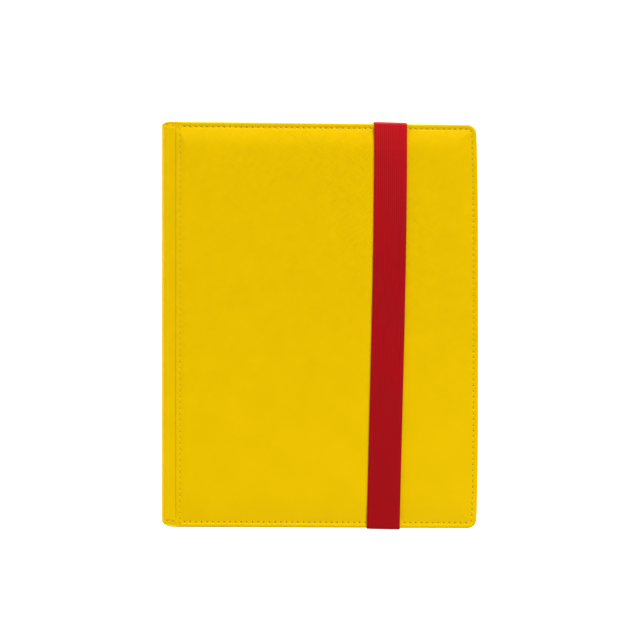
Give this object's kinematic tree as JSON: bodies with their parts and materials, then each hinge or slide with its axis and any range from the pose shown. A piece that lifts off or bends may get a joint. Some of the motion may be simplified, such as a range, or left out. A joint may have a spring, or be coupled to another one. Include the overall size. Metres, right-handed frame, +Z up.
{
  "type": "trading card binder",
  "caption": "Shut leatherette binder with padded, topstitched covers, side-loading pocket leaves and an elastic strap that holds it closed.",
  "frame": {"origin": "under the middle of the shut binder, on the surface that it lies on", "axes": "+Z up, out of the front cover; +Y towards the top edge; the spine at -X and the fore edge at +X"},
  "size_m": [0.246, 0.3176, 0.0313],
  "materials": {
    "leatherette": "cross-grained, soft sheen",
    "thread": "waxed thread",
    "foam": "soft foam",
    "board": "matt",
    "lining": "matt, fine weave",
    "binding_cloth": "matt, plain weave",
    "leaf_sheet": "matt, fine woven emboss",
    "pocket_film": "clear, glossy",
    "elastic": "ribbed woven elastic"
  },
  "bodies": {
    "back_cover": {"back_cover_skin": "leatherette", "back_spine_lap": "leatherette", "back_cover_foam": "foam", "back_cover_board": "board", "back_cover_lining": "lining", "back_cover_stitching": "thread", "elastic_strap_ends": "elastic"},
    "spine": {"spine_skin": "leatherette", "spine_hem": "leatherette", "spine_board": "board", "spine_lining": "lining", "binding_strip": "binding_cloth", "leaf_stubs": "leaf_sheet"},
    "front_cover": {"front_cover_skin": "leatherette", "front_spine_lap": "leatherette", "front_cover_foam": "foam", "front_cover_board": "board", "front_cover_lining": "lining", "front_cover_stitching": "thread"},
    "strap": {"elastic_strap": "elastic"},
    "leaf_01": {"leaf_01_sheet": "leaf_sheet", "leaf_01_pockets": "pocket_film"},
    "leaf_02": {"leaf_02_sheet": "leaf_sheet", "leaf_02_pockets": "pocket_film"},
    "leaf_03": {"leaf_03_sheet": "leaf_sheet", "leaf_03_pockets": "pocket_film"},
    "leaf_04": {"leaf_04_sheet": "leaf_sheet", "leaf_04_pockets": "pocket_film"},
    "leaf_05": {"leaf_05_sheet": "leaf_sheet", "leaf_05_pockets": "pocket_film"},
    "leaf_06": {"leaf_06_sheet": "leaf_sheet", "leaf_06_pockets": "pocket_film"},
    "leaf_07": {"leaf_07_sheet": "leaf_sheet", "leaf_07_pockets": "pocket_film"},
    "leaf_08": {"leaf_08_sheet": "leaf_sheet", "leaf_08_pockets": "pocket_film"},
    "leaf_09": {"leaf_09_sheet": "leaf_sheet", "leaf_09_pockets": "pocket_film"},
    "leaf_10": {"leaf_10_sheet": "leaf_sheet", "leaf_10_pockets": "pocket_film"},
    "leaf_11": {"leaf_11_sheet": "leaf_sheet", "leaf_11_pockets": "pocket_film"},
    "leaf_12": {"leaf_12_sheet": "leaf_sheet", "leaf_12_pockets": "pocket_film"},
    "leaf_13": {"leaf_13_sheet": "leaf_sheet", "leaf_13_pockets": "pocket_film"},
    "leaf_14": {"leaf_14_sheet": "leaf_sheet", "leaf_14_pockets": "pocket_film"},
    "leaf_15": {"leaf_15_sheet": "leaf_sheet", "leaf_15_pockets": "pocket_film"},
    "leaf_16": {"leaf_16_sheet": "leaf_sheet", "leaf_16_pockets": "pocket_film"},
    "leaf_17": {"leaf_17_sheet": "leaf_sheet", "leaf_17_pockets": "pocket_film"},
    "leaf_18": {"leaf_18_sheet": "leaf_sheet", "leaf_18_pockets": "pocket_film"},
    "leaf_19": {"leaf_19_sheet": "leaf_sheet", "leaf_19_pockets": "pocket_film"},
    "leaf_20": {"leaf_20_sheet": "leaf_sheet", "leaf_20_pockets": "pocket_film"}
  },
  "joints": [
    {"name": "spine_hinge", "type": "hinge", "parent": "back_cover", "child": "spine", "pos_m": [-0.123, 0, 0], "axis": [0, -1, 0], "range_deg": [0, 90]},
    {"name": "front_cover_hinge", "type": "hinge", "parent": "spine", "child": "front_cover", "pos_m": [-0.123, 0, 0.03], "axis": [0, -1, 0], "range_deg": [0, 90]},
    {"name": "leaf_01_fold", "type": "hinge", "parent": "spine", "child": "leaf_01", "pos_m": [-0.11817, 0, 0.02516], "axis": [0, -1, 0], "range_deg": [0, 90]},
    {"name": "leaf_02_fold", "type": "hinge", "parent": "spine", "child": "leaf_02", "pos_m": [-0.1171, 0, 0.02409], "axis": [0, -1, 0], "range_deg": [0, 90]},
    {"name": "leaf_03_fold", "type": "hinge", "parent": "spine", "child": "leaf_03", "pos_m": [-0.11603, 0, 0.02303], "axis": [0, -1, 0], "range_deg": [0, 90]},
    {"name": "leaf_04_fold", "type": "hinge", "parent": "spine", "child": "leaf_04", "pos_m": [-0.11496, 0, 0.02195], "axis": [0, -1, 0], "range_deg": [0, 90]},
    {"name": "leaf_05_fold", "type": "hinge", "parent": "spine", "child": "leaf_05", "pos_m": [-0.11389, 0, 0.02089], "axis": [0, -1, 0], "range_deg": [0, 90]},
    {"name": "leaf_06_fold", "type": "hinge", "parent": "spine", "child": "leaf_06", "pos_m": [-0.11281, 0, 0.01981], "axis": [0, -1, 0], "range_deg": [0, 90]},
    {"name": "leaf_07_fold", "type": "hinge", "parent": "spine", "child": "leaf_07", "pos_m": [-0.11174, 0, 0.01875], "axis": [0, -1, 0], "range_deg": [0, 90]},
    {"name": "leaf_08_fold", "type": "hinge", "parent": "spine", "child": "leaf_08", "pos_m": [-0.11067, 0, 0.01767], "axis": [0, -1, 0], "range_deg": [0, 90]},
    {"name": "leaf_09_fold", "type": "hinge", "parent": "spine", "child": "leaf_09", "pos_m": [-0.1096, 0, 0.01661], "axis": [0, -1, 0], "range_deg": [0, 90]},
    {"name": "leaf_10_fold", "type": "hinge", "parent": "spine", "child": "leaf_10", "pos_m": [-0.10854, 0, 0.01554], "axis": [0, -1, 0], "range_deg": [0, 90]},
    {"name": "leaf_11_fold", "type": "hinge", "parent": "spine", "child": "leaf_11", "pos_m": [-0.10854, 0, 0.01447], "axis": [0, 1, 0], "range_deg": [0, 90]},
    {"name": "leaf_12_fold", "type": "hinge", "parent": "spine", "child": "leaf_12", "pos_m": [-0.1096, 0, 0.0134], "axis": [0, 1, 0], "range_deg": [0, 90]},
    {"name": "leaf_13_fold", "type": "hinge", "parent": "spine", "child": "leaf_13", "pos_m": [-0.11067, 0, 0.01232], "axis": [0, 1, 0], "range_deg": [0, 90]},
    {"name": "leaf_14_fold", "type": "hinge", "parent": "spine", "child": "leaf_14", "pos_m": [-0.11174, 0, 0.01125], "axis": [0, 1, 0], "range_deg": [0, 90]},
    {"name": "leaf_15_fold", "type": "hinge", "parent": "spine", "child": "leaf_15", "pos_m": [-0.11281, 0, 0.01018], "axis": [0, 1, 0], "range_deg": [0, 90]},
    {"name": "leaf_16_fold", "type": "hinge", "parent": "spine", "child": "leaf_16", "pos_m": [-0.11389, 0, 0.00911], "axis": [0, 1, 0], "range_deg": [0, 90]},
    {"name": "leaf_17_fold", "type": "hinge", "parent": "spine", "child": "leaf_17", "pos_m": [-0.11496, 0, 0.00805], "axis": [0, 1, 0], "range_deg": [0, 90]},
    {"name": "leaf_18_fold", "type": "hinge", "parent": "spine", "child": "leaf_18", "pos_m": [-0.11603, 0, 0.00698], "axis": [0, 1, 0], "range_deg": [0, 90]},
    {"name": "leaf_19_fold", "type": "hinge", "parent": "spine", "child": "leaf_19", "pos_m": [-0.1171, 0, 0.0059], "axis": [0, 1, 0], "range_deg": [0, 90]},
    {"name": "leaf_20_fold", "type": "hinge", "parent": "spine", "child": "leaf_20", "pos_m": [-0.11817, 0, 0.00483], "axis": [0, 1, 0], "range_deg": [0, 90]},
    {"name": "strap_slip", "type": "slide", "parent": "back_cover", "child": "strap", "axis": [0, 0, -1], "range_m": [0, 0.0314], "deforming": ["elastic_strap"]}
  ],
  "couplings": [
    {"joint": "spine_hinge", "follows": "front_cover_hinge", "ratio": 1},
    {"joint": "leaf_01_fold", "follows": "front_cover_hinge", "ratio": 1},
    {"joint": "leaf_02_fold", "follows": "front_cover_hinge", "ratio": 1},
    {"joint": "leaf_03_fold", "follows": "front_cover_hinge", "ratio": 1},
    {"joint": "leaf_04_fold", "follows": "front_cover_hinge", "ratio": 1},
    {"joint": "leaf_05_fold", "follows": "front_cover_hinge", "ratio": 1},
    {"joint": "leaf_06_fold", "follows": "front_cover_hinge", "ratio": 1},
    {"joint": "leaf_07_fold", "follows": "front_cover_hinge", "ratio": 1},
    {"joint": "leaf_08_fold", "follows": "front_cover_hinge", "ratio": 1},
    {"joint": "leaf_09_fold", "follows": "front_cover_hinge", "ratio": 1},
    {"joint": "leaf_10_fold", "follows": "front_cover_hinge", "ratio": 1},
    {"joint": "leaf_11_fold", "follows": "front_cover_hinge", "ratio": 1},
    {"joint": "leaf_12_fold", "follows": "front_cover_hinge", "ratio": 1},
    {"joint": "leaf_13_fold", "follows": "front_cover_hinge", "ratio": 1},
    {"joint": "leaf_14_fold", "follows": "front_cover_hinge", "ratio": 1},
    {"joint": "leaf_15_fold", "follows": "front_cover_hinge", "ratio": 1},
    {"joint": "leaf_16_fold", "follows": "front_cover_hinge", "ratio": 1},
    {"joint": "leaf_17_fold", "follows": "front_cover_hinge", "ratio": 1},
    {"joint": "leaf_18_fold", "follows": "front_cover_hinge", "ratio": 1},
    {"joint": "leaf_19_fold", "follows": "front_cover_hinge", "ratio": 1},
    {"joint": "leaf_20_fold", "follows": "front_cover_hinge", "ratio": 1},
    {"joint": "strap_slip", "follows": "front_cover_hinge", "m_per_rad": 0.019989}
  ]
}
